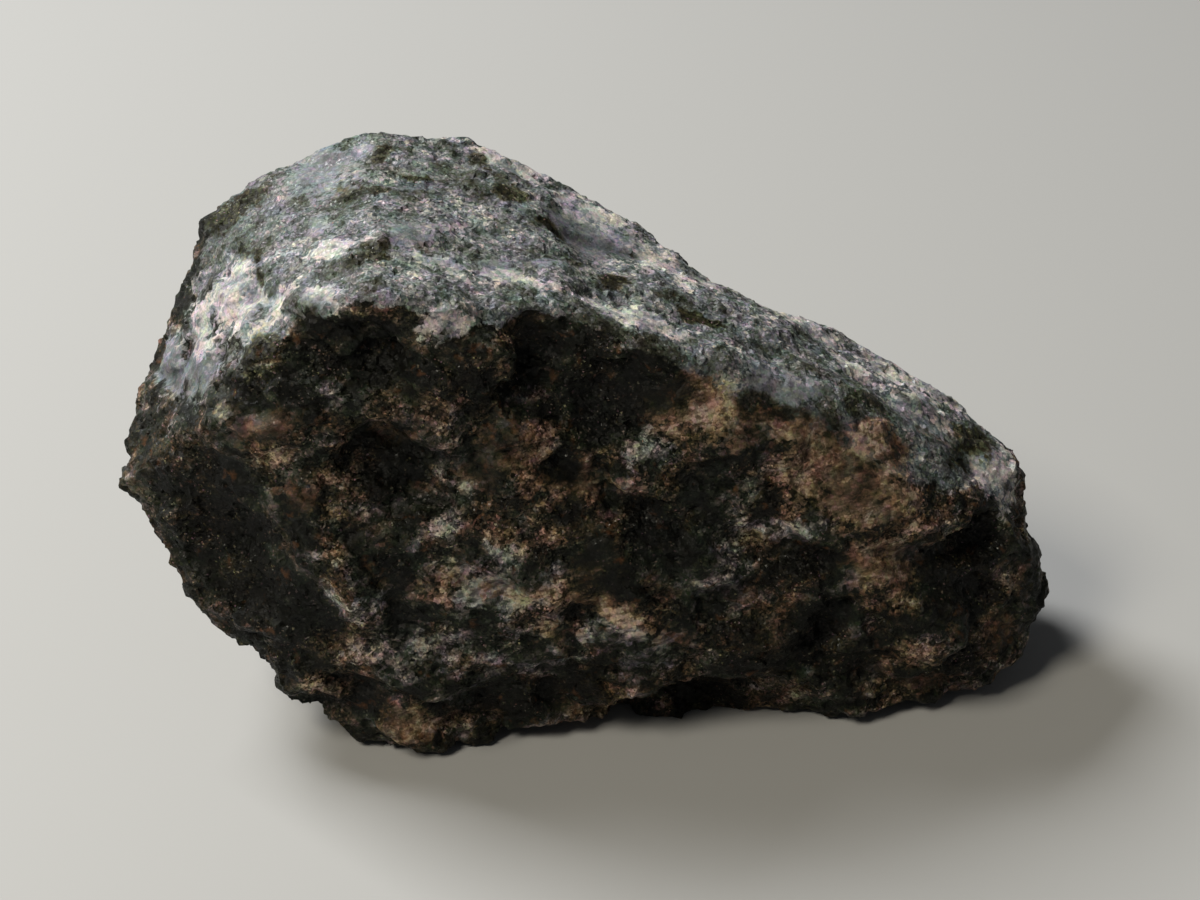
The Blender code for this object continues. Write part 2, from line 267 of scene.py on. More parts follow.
# %% Tan crystals
list_regions("tan", {
    "smooth crystal": region((6.2, -7.9, 21.8), (8.4, 3.0, 3.8), turn=14.0),
    "round crystal": region((15.6, -8.6, 16.9), (8.0, 4.0, 4.8), turn=10.0),
    "band between them": region((12.0, -7.5, 19.6), (4.4, 3.0, 2.4), turn=30.0),
    "pink band": region((-5.6, -12.3, 12.1), (8.6, 2.8, 2.6), turn=4.0),
    "crystal between pits": region((0.6, -11.7, 13.6), (3.2, 2.8, 4.0), turn=30.0),
    "pale lower band": region((4.9, -12.3, 8.3), (3.8, 2.4, 1.8), turn=36.0),
    "fibres": region((-1.1, -10.0, 18.0), (6.6, 2.6, 2.0), turn=-6.0),
    "lobe at the left foot": region((-11.4, -13.1, 2.8), (4.6, 2.8, 3.0)),
    "pinkish grains": region((1.4, -12.1, 10.4), (5.6, 2.8, 2.4), turn=38.0),
    "pinkish grains low": region((-1.8, -12.5, 8.6), (3.5, 2.8, 1.9), turn=30.0),
    "below the blue band": region((12.3, -7.4, 20.1), (10.9, 2.8, 3.5), turn=8.0),
    "grains under the round crystal": region((16.9, -9.3, 12.0), (6.4, 2.8, 3.6), turn=-6.0),
})

# %% Brown crystals
list_regions("brown", {
    "reddish crystal": region((-5.7, -9.9, 19.4), (3.8, 3.0, 6.6), turn=34.0),
    "left crystal": region((-18.4, -11.1, 22.3), (5.0, 2.6, 1.9), turn=-8.0),
    "upper left": region((-11.4, -8.8, 20.7), (4.6, 2.4, 1.9), turn=-10.0),
    "brown grains on the left": region((-16.5, -11.7, 18.1), (2.8, 2.8, 2.8)),
    "brown crystal low right": region((10.5, -11.4, 7.7), (2.9, 2.8, 4.3)),
    "right low": region((24.6, -7.2, 4.9), (2.6, 2.6, 2.2)),
    "foot": region((20.2, -8.9, 2.3), (3.6, 2.4, 1.6), turn=-8.0),
    "grey crystal below the right rim": region((20.0, -2.5, 17.0), (5.0, 2.8, 2.6), turn=10.0),
    "edge of the round crystal": region((16.8, -6.6, 18.0), (5.2, 2.8, 2.8), turn=10.0),
})

# %% [markdown]
# ## Pyroxene
# Dark regions are nests of crumbly, nearly black grains. Those in the recesses and
# pits of the front, under the crest and the rims, are also painted shade, where the
# overhang shades the front. Olive ones are the same mineral on the top, where the
# weather has turned it green.

# %% Dark nests, and painted shade in the recesses
list_regions("dark", {
    # The regions under the rims and the crest and in the recesses and pits are painted shade as well as
    # dark grains.
    "recess under the left rim": region((-10.2, -7.4, 25.1), (11.0, 3.4, 3.8)),
    "recess under the middle rim": region((0.6, -6.9, 23.6), (11.0, 3.0, 3.6), turn=16.0),
    "left face": region((-22.0, -8.6, 15.4), (9.5, 5.0, 8.0), turn=20.0),
    "left face low": region((-18.2, -11.1, 9.4), (8.6, 4.0, 7.0), turn=40.0),
    "middle pit": region((3.8, -10.3, 14.9), (4.8, 3.0, 3.4), turn=34.0),
    "right pit": region((22.9, -5.1, 10.6), (5.2, 3.0, 3.2), turn=20.0),
    "groove": region((13.9, -10.0, 6.4), (3.4, 3.0, 6.6), turn=-32.0),
    "nest left of the pit": region((-1.2, -10.8, 16.0), (2.6, 2.2, 2.8)),
    "nest under the recess": region((-0.4, -7.9, 20.9), (6.6, 2.4, 3.4), turn=10.0),
    "low middle": region((-4.8, -12.9, 8.4), (3.8, 2.2, 2.4)),
    "bottom": region((-3.6, -12.2, 3.9), (8.0, 2.4, 2.8)),
    "below the ledge": region((-13.2, -12.3, 3.8), (4.0, 2.6, 2.4), turn=30.0),
    "grains on the right": region((11.9, -10.1, 12.0), (6.0, 2.4, 2.6)),
    "low right": region((9.3, -11.8, 5.6), (3.0, 2.4, 2.8)),
    "right foot": region((21.6, -9.1, 4.2), (5.0, 2.4, 2.8), turn=-16.0),
    "notch in the rim": region((2.2, 3.2, 25.7), (1.6, 1.6, 1.6)),
    "spot below the crest": region((16.1, -5.1, 19.4), (2.4, 1.8, 1.6)),
    "under the crest on the left": region((-14.2, -9.3, 28.3), (5.1, 2.6, 2.3)),
    "low end of the recess": region((-7.7, -10.3, 25.1), (7.2, 2.8, 2.7), turn=22.0),
    "below the middle rim": region((1.2, -7.5, 25.6), (9.6, 2.8, 3.0), turn=14.0),
    "beside the reddish crystal": region((-12.5, -9.7, 18.7), (4.8, 2.8, 4.3), turn=10.0),
    "right lower": region((22.2, -7.7, 8.4), (7.2, 3.6, 6.1), turn=-10.0),
    "upper left of the front": region((-15.3, -8.9, 25.4), (3.9, 2.8, 2.7), turn=10.0),
    "nest beside the fibres": region((-1.8, -9.4, 18.6), (2.3, 2.8, 3.5), turn=20.0),
    "nest low": region((-4.2, -12.2, 4.5), (3.6, 2.8, 1.7), turn=-8.0),
    "black grains on the left": region((-19.8, -9.3, 14.9), (6.4, 2.8, 8.5), turn=30.0),
    "black grains low on the left": region((-17.0, -12.2, 9.8), (4.7, 2.8, 4.3), turn=30.0),
    "black grains right of the pink band": region((1.1, -11.7, 13.8), (3.5, 2.8, 4.9), turn=20.0),
    "black grains right of the middle": region((9.0, -11.8, 8.0), (2.9, 2.8, 5.7), turn=-10.0),
    "nest on the crest": region((16.4, -4.7, 19.5), (3.3, 2.2, 1.6), turn=10.0),
    "brown grains under the blue band": region((10.3, -7.0, 21.4), (5.2, 2.8, 1.7), turn=14.0),
    "green grains at the low edge": region((6.6, -8.6, 1.5), (3.7, 2.8, 2.2), turn=-10.0),
    "nest below the shoulder": region((-16.3, -10.3, 24.0), (2.2, 2.8, 1.4)),
})

# %% Olive nests
list_regions("olive", {
    "notch at the peak": region((-12.7, 5.2, 30.7), (1.6, 2.0, 2.0)),
    "streak on the top": region((-13.9, 1.4, 30.7), (4.6, 1.8, 1.6)),
    "left of the top": region((-20.1, -0.6, 27.9), (2.8, 2.4, 1.6), turn=-10.0),
    "small spot left": region((-19.1, -3.3, 27.7), (1.8, 1.8, 1.4)),
    "grains on the shoulder": region((-18.9, -8.7, 26.5), (3.2, 2.2, 2.0)),
    "below the shoulder": region((-18.2, -9.9, 24.5), (4.6, 2.2, 1.8)),
    "right of the peak": region((-7.2, 5.8, 29.9), (2.0, 2.3, 1.6), turn=20.0),
    "right of the peak low": region((-4.7, 3.3, 29.5), (2.2, 1.6, 1.6), turn=28.0),
    "below the peak": region((-10.5, 3.7, 30.4), (1.5, 1.1, 1.6), turn=10.0),
    "dark grains on the top": region((-12.7, -5.3, 30.5), (2.8, 2.1, 1.6), turn=5.0),
    "small grains on the top": region((-2.5, 1.3, 28.4), (1.4, 1.6, 1.6), turn=20.0),
    "grains in the middle": region((1.1, -2.2, 26.8), (2.5, 1.4, 1.6), turn=24.0),
    "grains on the right": region((6.3, -2.8, 24.8), (2.9, 1.2, 1.6), turn=26.0),
    "right tip": region((21.8, -4.2, 15.4), (1.4, 2.8, 1.2), turn=30.0),
    "skyline on the left": region((-21.3, 4.2, 27.7), (5.3, 2.7, 1.6), turn=-30.0),
    "green grains at the tip": region((22.9, -1.6, 15.2), (2.6, 3.1, 1.8), turn=20.0),
})

# %% [markdown]
# ## Soft and bent outlines
# No crystal is a perfect egg. The share of a region fades over a soft edge, and the
# points are first pushed about by two smooth noises, a long one and a short one, so
# that every outline bends in its own way. The bent points are worked out once for the
# relief and once more for the finish, because the surface has moved in between.

# %% Shares of the regions
REGION_EDGE = 0.60  # how much of a region's reach is its soft edge
BENDS = ((2.6 * MM, 1.1 * MM), (1.0 * MM, 0.45 * MM))  # length of a bend and how far it pushes
NOISE_SEED = 7
noise.seed_set(NOISE_SEED)  # without a seed the outlines would bend another way in every run


def bent_places(points):
    """The points pushed about by smooth noise, so that no region stays an egg."""
    places = points.copy()
    for length, push in BENDS:
        places += push * np.array([noise.noise_vector(Vector(point) / length) for point in points])
    return places


def region_share(points, kind):
    """How much every point belongs to the regions of one kind, from 0 to 1."""
    share = np.zeros(len(points))
    for entry in REGIONS[kind].values():
        turn = np.array(Euler((0.0, math.radians(entry["turn"]), 0.0)).to_matrix())
        reach = np.array(entry["size"]) * MM / 2
        away = (points - np.array(entry["middle"]) * MM) @ turn / reach
        inside = (1.0 + REGION_EDGE - np.linalg.norm(away, axis=1)) / (2 * REGION_EDGE)
        share = np.maximum(share, np.clip(inside, 0.0, 1.0))
    return share


print("soft edges take", REGION_EDGE, "of a region's reach")

# %% [markdown]
# ## The broken body
# The solid has the main break faces in facets about a millimetre wide. A copy of it
# gets an even, much finer mesh with the Remesh modifier, and a light smoothing takes
# the edges of the old facets away, so that the new relief is all that shows.
# Subdividing would be simpler, but it keeps the long and uneven triangles.

# %% Fine even mesh
FINE_VOXEL = 0.16 * MM
WELD_REACH = 0.001 * MM
SMOOTHING_TURNS = 5
SMOOTHING_FACTOR = 0.5


def copy_of_solid(name):
    """A new piece with the same shape as the solid, which itself stays as it is."""
    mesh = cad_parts["gabbro"].data.copy()
    mesh.name = name
    mesh.materials.clear()
    piece = bpy.data.objects.new(name, mesh)
    bpy.context.scene.collection.objects.link(piece)
    return piece


def apply_modifiers(piece):
    shown = piece.evaluated_get(bpy.context.evaluated_depsgraph_get())
    finished = bpy.data.meshes.new_from_object(shown)
    piece.modifiers.clear()
    piece.data = finished


def remesh_finely(piece):
    weld = piece.modifiers.new("weld", "WELD")
    weld.merge_threshold = WELD_REACH
    step = piece.modifiers.new("even mesh", "REMESH")
    step.mode = "VOXEL"
    step.voxel_size = FINE_VOXEL
    smooth = piece.modifiers.new("soften facets", "SMOOTH")
    smooth.factor = SMOOTHING_FACTOR
    smooth.iterations = SMOOTHING_TURNS
    apply_modifiers(piece)


stone = copy_of_solid("raw_stone")
remesh_finely(stone)
print("fine mesh:", len(stone.data.polygons), "faces")

# %% [markdown]
# ## Relief of the break
# A crystal breaks along flat planes that lean every way, so the surface is made of
# small flat chips. Pushing the mesh out by cloudy noise would look like melted wax.
# Here the nearest seeds of each point are found in a jittered grid, and the height is
# that of the chips' planes, blended only at their borders. Squeezing the points along
# the streaks first makes the chips long, as the crystals in this rock are.

# %% Chips
STREAK_DIP = math.radians(-20.0)
CHIP_TABLE = 48  # the random table repeats after this many cells


def along_streaks(points, stretch):
    """Points measured along the streaks, with that direction squeezed."""
    along = points[:, 0] * math.cos(STREAK_DIP) + points[:, 2] * math.sin(STREAK_DIP)
    across = points[:, 2] * math.cos(STREAK_DIP) - points[:, 0] * math.sin(STREAK_DIP)
    return np.stack([along / stretch, points[:, 1], across], axis=1)


def chip_heights(points, cell, lean, step, blend, seed):
    """Height of many flat chips, one to a cell, each with its own lean and step."""
    generator = np.random.default_rng(seed)
    jitter = generator.random((CHIP_TABLE, CHIP_TABLE, CHIP_TABLE, 3))
    leans = generator.normal(0.0, lean, jitter.shape)
    steps = generator.uniform(-step, step, jitter.shape[:3])
    home = np.floor(points / cell).astype(int)
    gaps = []
    planes = []
    for offset in product((-1, 0, 1), repeat=3):
        square = home + offset
        entry = tuple((square % CHIP_TABLE).T)
        away = points - (square + jitter[entry]) * cell
        gaps.append(np.linalg.norm(away, axis=1))
        planes.append(steps[entry] + np.sum(away * leans[entry], axis=1))
    weights = np.exp((np.min(gaps, axis=0) - gaps) / blend)
    return np.sum(weights * planes, axis=0) / np.sum(weights, axis=0)


print("streaks dip", round(math.degrees(-STREAK_DIP)), "degrees to the right")

# %% Reading and moving the surface


def surface(piece):
    """All points of the piece and the way the surface faces at each."""
    count = len(piece.data.vertices)
    points = np.empty(count * 3)
    normals = np.empty(count * 3)
    piece.data.vertices.foreach_get("co", points)
    piece.data.vertices.foreach_get("normal", normals)
    return points.reshape(-1, 3), normals.reshape(-1, 3)


def move_points(piece, points):
    piece.data.vertices.foreach_set("co", points.ravel())
    piece.data.update()


# %% [markdown]
# ## Large to small
# The break is made from large to small: steps as large as a crystal, then chips, then
# single grains. Smooth crystals stand out a little and carry less of the small
# relief. Dark nests lie a little deeper, because their grains crumble away. The top
# is weathered, so its larger relief is worn down and only its grains stay rough.

# %% Relief passes
CHIPS = {
    "crystals": {"cell": 2.2 * MM, "lean": 0.09, "step": 0.06 * MM, "blend": 0.05 * MM, "seed": 5},
    "chips": {"cell": 1.0 * MM, "lean": 0.13, "step": 0.034 * MM, "blend": 0.03 * MM, "seed": 9},
    "grains": {"cell": 0.48 * MM, "lean": 0.20, "step": 0.022 * MM, "blend": 0.02 * MM, "seed": 12},
}
CHIP_STRETCH = {"crystals": 1.4, "chips": 1.4, "grains": 1.1}
NEST_DEPTH = 0.16 * MM
SMOOTH_CRYSTAL_RISE = 0.12 * MM
MILKY_SMOOTHNESS = 0.5  # milky crystals are half as smooth as tan and blue ones
GRAIN_ON_CRYSTALS = 0.35
TOP_RELIEF = 0.20


def pass_heights(points, name):
    return chip_heights(along_streaks(points, CHIP_STRETCH[name]), **CHIPS[name])


def break_surface(piece):
    points, normals = surface(piece)
    places = bent_places(points)
    smooth_share = np.maximum(region_share(places, "tan"), region_share(places, "blue"))
    smooth_share = np.maximum(smooth_share, region_share(places, "milky") * MILKY_SMOOTHNESS)
    nest_share = np.maximum(region_share(places, "dark"), region_share(places, "olive"))
    grain_share = 1.0 - (1.0 - GRAIN_ON_CRYSTALS) * smooth_share
    calm = 1.0 - (1.0 - TOP_RELIEF) * np.clip(normals[:, 2], 0.0, 1.0)
    heights = pass_heights(points, "crystals") + pass_heights(points, "chips") * grain_share
    heights += SMOOTH_CRYSTAL_RISE * smooth_share - NEST_DEPTH * nest_share
    heights = heights * calm + pass_heights(points, "grains") * grain_share
    move_points(piece, points + normals * heights[:, None])
    return heights


raised = break_surface(stone)
print("relief from", round(raised.min() / MM, 2), "to", round(raised.max() / MM, 2), "mm")

# %% [markdown]
# ## Weight of the mesh
# The fine mesh has far more faces than flat spots need. The Decimate modifier keeps
# them where the surface bends. Then everything that reaches below the table is
# pressed up to its level, which leaves the flat spot that the stone stands on.

# %% Thin out and stand
FACE_LIMIT = 190000
SHARP_ANGLE = math.radians(32.0)


def thin_out(piece):
    triangles = sum(len(face.vertices) - 2 for face in piece.data.polygons)
    step = piece.modifiers.new("fewer faces", "DECIMATE")
    step.ratio = min(1.0, FACE_LIMIT / triangles)
    step.use_collapse_triangulate = True
    apply_modifiers(piece)


def stand_on_table(piece):
    points = surface(piece)[0]
    points[:, 2] = np.maximum(points[:, 2], 0.0)
    move_points(piece, points)


thin_out(stone)
stand_on_table(stone)
stone.data.shade_smooth()
stone.data.set_sharp_from_angle(angle=SHARP_ANGLE)
print("finished mesh:", len(stone.data.polygons), "triangles")

# %% [markdown]
# ## What the finish needs to know
# The finish has to know where the crystal regions are, which way the large break
# faces look, and where the surface is hollow. These are kept on the mesh as named
# values, which a material can read anywhere and which no texture has to be painted
# for. The large faces and the hollows come from a copy of the points that is
# averaged with its neighbours many times.

# %% Averages over the mesh
WIDE_TURNS = 120


def averaged(piece, values, turns):
    """Each point's values averaged with its neighbours', again and again."""
    edges = np.empty(len(piece.data.edges) * 2, dtype=int)
    piece.data.edges.foreach_get("vertices", edges)
    first, second = edges.reshape(-1, 2).T
    count = len(values)
    near = np.bincount(first, minlength=count) + np.bincount(second, minlength=count)
    for _ in range(turns):
        sums = np.stack([
            np.bincount(first, column[second], count) + np.bincount(second, column[first], count)
            for column in values.T
        ], axis=1)
        values = (values + sums) / (near + 1)[:, None]
    return values


# %% Named values on the mesh
HOLLOW_DEPTH = 0.35 * MM  # this far below its surroundings, a spot counts as fully hollow
TOP_FROM = 0.35  # the upward part of a face's direction where the top begins
TOP_TO = 0.75  # and where it is the top and nothing else


def keep_value(piece, name, values):
    attribute = piece.data.attributes.new(name, "FLOAT", "POINT")
    attribute.data.foreach_set("value", values.astype(np.float32))


def name_values(piece):
    points, normals = surface(piece)
    places = bent_places(points)
    for kind in REGIONS:
        keep_value(piece, kind, region_share(places, kind))
    wide_points = averaged(piece, points, WIDE_TURNS)
    wide_normals = averaged(piece, normals, WIDE_TURNS)
    wide_normals /= np.linalg.norm(wide_normals, axis=1)[:, None]
    # This hollow value later darkens the pits in the finish as painted shade.
    hollow = np.sum((wide_points - points) * wide_normals, axis=1) / HOLLOW_DEPTH
    keep_value(piece, "hollow", np.clip(hollow, -1.0, 1.0))
    top = (wide_normals[:, 2] - TOP_FROM) / (TOP_TO - TOP_FROM)
    keep_value(piece, "top", np.clip(top, 0.0, 1.0))


name_values(stone)
print("values on the mesh:", [item.name for item in stone.data.attributes])

# %% [markdown]
# ## Small helpers for node work
# A material is a tree of nodes. These helpers add a node, set its inputs and join
# it, so that the cells below read like the recipe and not like the wiring.

# %% Adding and joining nodes


def feed(tree, socket, value):
    """Sets an input to a value, or joins it to another node's output."""
    if isinstance(value, bpy.types.NodeSocket):
        tree.links.new(value, socket)
    else:
        socket.default_value = value


def add_node(tree, kind, inputs=None, **settings):
    node = tree.nodes.new(kind)
    for name, value in settings.items():
        setattr(node, name, value)
    for name, value in (inputs or {}).items():
        feed(tree, node.inputs[name], value)
    return node


def read_value(tree, name):
    """A named value of the mesh."""
    return add_node(tree, "ShaderNodeAttribute", attribute_name=name).outputs["Fac"]


def add_noise(tree, place, lumps, detail=2.0, roughness=0.5):
    """Cloudy noise around 0.5, with so many lumps to the millimetre."""
    inputs = {"Vector": place, "Scale": lumps, "Detail": detail, "Roughness": roughness}
    return add_node(tree, "ShaderNodeTexNoise", inputs).outputs


# %% Numbers from numbers
HALF = 0.5  # the middle of every random number and noise


def calculate(tree, operation, *values):
    """A number worked out from other numbers."""
    node = tree.nodes.new("ShaderNodeMath")
    node.operation = operation
    for socket, value in zip(node.inputs, values):
        feed(tree, socket, value)
    return node.outputs["Value"]


def largest(tree, first, *others):
    for other in others:
        first = calculate(tree, "MAXIMUM", first, other)
    return first


def multiplied(tree, first, *others):
    for other in others:
        first = calculate(tree, "MULTIPLY", first, other)
    return first


def mixture(tree, parts, middle=HALF):
    """Adds patterns by weight; where every pattern is at its middle, so is the sum."""
    total = calculate(tree, "SUBTRACT", middle, HALF * sum(weight for pattern, weight in parts))
    for pattern, weight in parts:
        total = calculate(tree, "MULTIPLY_ADD", pattern, weight, total)
    return total


def pushed(tree, value, pattern, reach):
    """A value moved up and down by a pattern."""
    away = calculate(tree, "SUBTRACT", pattern, HALF)
    return calculate(tree, "MULTIPLY_ADD", away, reach, value)


def ramp(tree, value, low=0.0, high=1.0, start=0.0, end=1.0):
    """Turns low..high into start..end with a soft beginning and end."""
    inputs = {"Value": value, "From Min": low, "From Max": high, "To Min": start, "To Max": end}
    return add_node(tree, "ShaderNodeMapRange", inputs, interpolation_type="SMOOTHSTEP").outputs["Result"]


# %% Places and directions
CENTRE = (HALF, HALF, HALF)


def calculate_vector(tree, operation, first, second):
    """A place or direction worked out from two others; a dot product is a number."""
    node = tree.nodes.new("ShaderNodeVectorMath")
    node.operation = operation
    feed(tree, node.inputs[0], first)
    feed(tree, node.inputs[1], second)
    return node.outputs["Value" if operation == "DOT_PRODUCT" else "Vector"]


def scale_vector(tree, vector, factor):
    inputs = {"Vector": vector, "Scale": factor}
    return add_node(tree, "ShaderNodeVectorMath", inputs, operation="SCALE").outputs["Vector"]


# %% [markdown]
# ## Groups
# An effect that is needed more than once is a node group: a small tree of its own
# with named inputs and outputs. It is built once and then placed like a single node,
# each time with its own values.

# %% Making and placing groups


def new_group(name, inputs, outputs):
    """An empty group: inputs and outputs are lists of name, kind and starting value."""
    tree = bpy.data.node_groups.new(name, "ShaderNodeTree")
    for label, kind, start in inputs:
        socket = tree.interface.new_socket(name=label, in_out="INPUT", socket_type="NodeSocket" + kind)
        if start is not None:
            socket.default_value = start
    for label, kind in outputs:
        tree.interface.new_socket(name=label, in_out="OUTPUT", socket_type="NodeSocket" + kind)
    given = tree.nodes.new("NodeGroupInput").outputs
    result = tree.nodes.new("NodeGroupOutput").inputs
    return tree, given, result


def place_group(tree, group, inputs):
    """Puts a group into a tree and gives back its outputs."""
    node = tree.nodes.new("ShaderNodeGroup")
    node.node_tree = group
    for name, value in inputs.items():
        feed(tree, node.inputs[name], value)
    return node.outputs


# %% [markdown]
# ## Ragged places
# Crystals never end in a smooth line. Before a pattern is looked up, its place is
# pushed about by fine noise, which makes every border ragged.

# %% Group: ragged place
RAGGED_DETAIL = 3.0

ragged_place, given, result = new_group(
    "ragged place",
    [("Place", "Vector", None), ("Lumps", "Float", 1.0), ("Reach", "Float", 0.3)],
    [("Place", "Vector")],
)
push = add_noise(ragged_place, given["Place"], given["Lumps"], detail=RAGGED_DETAIL)["Color"]
push = calculate_vector(ragged_place, "SUBTRACT", push, CENTRE)
push = scale_vector(ragged_place, push, given["Reach"])
feed(ragged_place, result["Place"], calculate_vector(ragged_place, "ADD", given["Place"], push))
print("ragged place:", len(ragged_place.nodes), "nodes")

# %% [markdown]
# ## Crystal cells
# One Voronoi texture gives a whole set of crystals. Each cell has a random colour,
# used here as random numbers, and its own middle. How far a spot lies from that
# middle along a random lean is the height of a flat facet, which makes the crystals
# catch the light one by one. Noise would be softer, but it has no single crystals.

# %% Group: crystal cells
crystal_cells, given, result = new_group(
    "crystal cells",
    [("Place", "Vector", None), ("Size", "Float", 1.0)],
    [("Pick", "Float"), ("Shade", "Float"), ("Facet", "Float"), ("Tint", "Color")],
)
per_mm = calculate(crystal_cells, "DIVIDE", 1.0, given["Size"])
in_cells = scale_vector(crystal_cells, given["Place"], per_mm)
cell = add_node(crystal_cells, "ShaderNodeTexVoronoi", {"Vector": in_cells, "Scale": 1.0}).outputs
random_parts = add_node(crystal_cells, "ShaderNodeSeparateColor", {"Color": cell["Color"]}).outputs
feed(crystal_cells, result["Pick"], random_parts["Red"])
feed(crystal_cells, result["Shade"], random_parts["Green"])
feed(crystal_cells, result["Tint"], cell["Color"])
away = calculate_vector(crystal_cells, "SUBTRACT", in_cells, cell["Position"])
leaning = calculate_vector(crystal_cells, "SUBTRACT", cell["Color"], CENTRE)
facet = calculate_vector(crystal_cells, "DOT_PRODUCT", away, leaning)
feed(crystal_cells, result["Facet"], multiplied(crystal_cells, facet, given["Size"]))
print("crystal cells:", len(crystal_cells.nodes), "nodes")

# %% [markdown]
# ## Mineral tints
# The rock goes from black pyroxene through grey mixtures to milky feldspar without a
# clear border, so one number, the paleness, runs through a ramp of tints. The top is
# bleached: olive black, grey green, grey and pinkish white, and its tints are also
# painted lighter because the top faces the lamp. The front has two ramps, a clean one
# from green black to grey and a stained one from brown black to tan, both painted
# darker because the front lies in shade.

# %% Tints
# The top tints are paler and the front tints darker partly as painted light: the top painted lit, the
# front painted in shade, besides the real bleaching and staining.
LIT_AND_BLEACHED_TOP_TINTS = (
    (0.04, (0.0159, 0.0159, 0.0086, 1.0)),
    (0.24, (0.0480, 0.0492, 0.0324, 1.0)),
    (0.40, (0.0784, 0.0887, 0.0806, 1.0)),
    (0.56, (0.1453, 0.1580, 0.1591, 1.0)),
    (0.72, (0.2413, 0.2470, 0.2586, 1.0)),
    (0.92, (0.5336, 0.4992, 0.4733, 1.0)),
)
SHADED_CLEAN_FRONT_TINTS = (
    (0.14, (0.0027, 0.0030, 0.0015, 1.0)),
    (0.34, (0.0064, 0.0090, 0.0046, 1.0)),
    (0.48, (0.0182, 0.0220, 0.0121, 1.0)),
    (0.62, (0.0527, 0.0500, 0.0473, 1.0)),
    (0.78, (0.1167, 0.1080, 0.1022, 1.0)),
    (1.00, (0.3764, 0.3500, 0.3216, 1.0)),
)
SHADED_STAINED_FRONT_TINTS = (
    (0.14, (0.0036, 0.0030, 0.0015, 1.0)),
    (0.34, (0.0108, 0.0090, 0.0038, 1.0)),
    (0.48, (0.0306, 0.0220, 0.0099, 1.0)),
    (0.62, (0.0857, 0.0540, 0.0312, 1.0)),
    (0.78, (0.1723, 0.1120, 0.0700, 1.0)),
    (1.00, (0.4284, 0.3300, 0.2365, 1.0)),
)


def tints(tree, value, stops):
    """A colour ramp that picks the tint for a value."""
    node = tree.nodes.new("ShaderNodeValToRGB")
    elements = node.color_ramp.elements
    while len(elements) < len(stops):
        elements.new(1.0)
    for element, (position, colour) in zip(elements, stops):
        element.position = position
        element.color = colour
    feed(tree, node.inputs["Fac"], value)
    return node.outputs["Color"]


# %% Colours from colours
WHITE = (1.0, 1.0, 1.0, 1.0)
MIX_SHARE = 0  # the Mix node keeps a set of sockets for each kind of value,
MIX_FIRST = 6  # and these are the places of the share and the colours
MIX_SECOND = 7
MIX_RESULT = 2


def mix_colours(tree, share, first, second, way="MIX"):
    """First where the share is 0, second where it is 1."""
    node = add_node(tree, "ShaderNodeMix", data_type="RGBA", blend_type=way)
    feed(tree, node.inputs[MIX_SHARE], share)
    feed(tree, node.inputs[MIX_FIRST], first)
    feed(tree, node.inputs[MIX_SECOND], second)
    return node.outputs[MIX_RESULT]


def tinted(tree, colour, factor, share=1.0):
    """The colour multiplied by another colour, or by a plain number."""
    return mix_colours(tree, share, colour, factor, way="MULTIPLY")


def around_white(tree, colour, strength):
    """Turns a random colour around grey into a gentle tint around white."""
    away = calculate_vector(tree, "SUBTRACT", colour, CENTRE)
    return calculate_vector(tree, "ADD", scale_vector(tree, away, strength), WHITE[:3])


# %% [markdown]
# ## The stone's material
# Every pattern is looked up in the space of the stone itself, in millimetres, so it
# covers all sides without a seam. The place is turned by the dip of the streaks and
# made ragged. Squeezing it along the streaks makes the round cells come out long,
# a little for the crystals and a lot for the fibres.

# %% Material and places
RAGGED = {"Lumps": 2.4, "Reach": 0.30}
LATH_SQUEEZE = (0.80, 1.0, 1.0)
FIBRE_SQUEEZE = (0.32, 1.0, 1.0)

material = bpy.data.materials.new("raw gabbro")
material.use_nodes = True
tree = material.node_tree
shader = tree.nodes["Principled BSDF"]

place = add_node(tree, "ShaderNodeTexCoord").outputs["Object"]
place = scale_vector(tree, place, 1.0 / MM)
streak_turn = {"Vector": place, "Rotation": (0.0, -STREAK_DIP, 0.0)}
streak_place = add_node(tree, "ShaderNodeMapping", streak_turn).outputs["Vector"]
ragged = place_group(tree, ragged_place, {"Place": streak_place, **RAGGED})["Place"]
lath_place = calculate_vector(tree, "MULTIPLY", ragged, LATH_SQUEEZE)
fibre_place = calculate_vector(tree, "MULTIPLY", streak_place, FIBRE_SQUEEZE)
print("places for the patterns:", len(tree.nodes), "nodes so far")

# %% [markdown]
# ## Patterns
# Crystals of four sizes lie over each other, from more than a millimetre down to
# grains like sugar. Noises say where one mineral gathers, groove the large crystals
# with fibres, and vary the colour from place to place.

# %% Crystals of four sizes
CRYSTAL_SIZE = 1.3
LATH_SIZE = 0.48
GRAIN_SIZE = 0.26
SUGAR_SIZE = 0.12

crystals = place_group(tree, crystal_cells, {"Place": lath_place, "Size": CRYSTAL_SIZE})
laths = place_group(tree, crystal_cells, {"Place": lath_place, "Size": LATH_SIZE})
grains = place_group(tree, crystal_cells, {"Place": streak_place, "Size": GRAIN_SIZE})
sugar = place_group(tree, crystal_cells, {"Place": streak_place, "Size": SUGAR_SIZE})
print("crystals of", CRYSTAL_SIZE, LATH_SIZE, GRAIN_SIZE, "and", SUGAR_SIZE, "mm")

